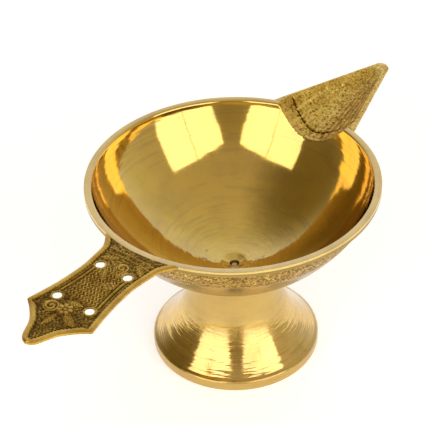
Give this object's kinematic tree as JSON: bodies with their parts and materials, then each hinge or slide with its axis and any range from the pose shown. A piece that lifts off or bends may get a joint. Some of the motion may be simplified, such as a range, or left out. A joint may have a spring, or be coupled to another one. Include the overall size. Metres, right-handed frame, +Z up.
{
  "type": "diya oil lamp",
  "caption": "Brass diya oil lamp: an open turned bowl with a flat pierced handle, a leaf-shaped trough spout for the wick, and a flared pedestal foot that unscrews.",
  "frame": {"origin": "on the ground under the middle of the whole lamp's length; the lathe axis of the bowl and foot is 4.2 mm to its +X side", "axes": "+X towards the spout's tip, -X along the handle, +Z up out of the bowl"},
  "size_m": [0.1954, 0.1, 0.0702],
  "materials": {
    "bowl_brass": "turned and polished, mirror bright",
    "cast_brass": "as cast with chased relief, dark patina in the recesses, crests rubbed bright",
    "foot_brass": "turned, satin on the neck and band, polished on the flare",
    "stud_brass": "plain machined",
    "seal_rubber": "matt black",
    "fastener_steel": "zinc plated"
  },
  "bodies": {
    "bowl_body": {"bowl": "bowl_brass", "handle": "cast_brass", "spout": "cast_brass"},
    "seal_body": {"seal_washer": "seal_rubber"},
    "foot_body": {"foot": "foot_brass", "stud": "stud_brass", "plain_washer": "fastener_steel", "nut": "fastener_steel"}
  },
  "joints": [
    {"name": "foot_drop", "type": "slide", "parent": "bowl_body", "child": "seal_body", "axis": [0, 0, -1], "range_m": [0, 0.0035]},
    {"name": "foot_unscrew", "type": "hinge", "parent": "seal_body", "child": "foot_body", "pos_m": [0.0042, 0, 0.0281], "axis": [0, 0, -1], "range_deg": [0, 2520]}
  ],
  "couplings": [
    {"joint": "foot_drop", "follows": "foot_unscrew", "m_per_rad": 0.000079577}
  ]
}
